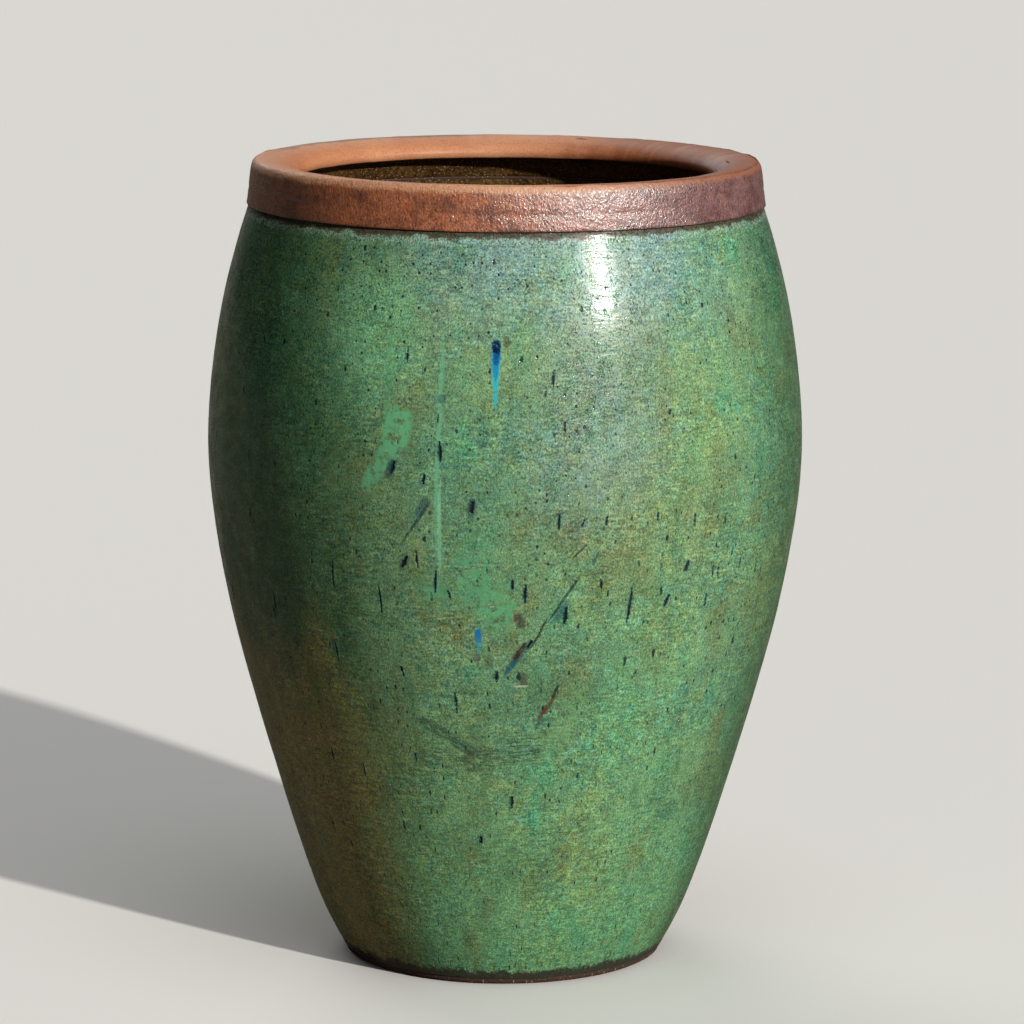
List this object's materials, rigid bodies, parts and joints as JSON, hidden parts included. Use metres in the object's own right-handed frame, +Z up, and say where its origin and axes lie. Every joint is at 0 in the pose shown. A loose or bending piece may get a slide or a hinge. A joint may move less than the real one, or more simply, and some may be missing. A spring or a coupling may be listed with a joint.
{
  "type": "glazed jar planter",
  "caption": "Tall barrel-shaped stoneware jar planter with a jade-green glaze, a thick rolled brown rim and a drain hole.",
  "frame": {"origin": "centre of the foot, on the ground", "axes": "+Z up along the jar's axis, -Y towards the side with the blue run"},
  "size_m": [0.678, 0.6778, 0.915],
  "materials": {
    "raw_clay": "bare fired stoneware, gritty and matt",
    "rim_clay": "smoothed terracotta-coloured clay, satin where it was wiped",
    "jade_glaze": "glossy jade-green glaze with speckles, pits, runs and a few blue streaks",
    "rim_glaze": "glossy red-brown glaze with an orange-peel surface",
    "inner_wash": "thin dark brown wash over gritty clay, half glossy"
  },
  "bodies": {
    "root": {"floor_slab": "raw_clay", "corner_coil": "raw_clay", "lower_wall": "raw_clay", "middle_wall": "raw_clay", "upper_wall": "raw_clay", "rim_roll": "rim_clay", "jade_glaze": "jade_glaze", "rim_glaze": "rim_glaze", "inner_wash": "inner_wash"}
  },
  "joints": []
}
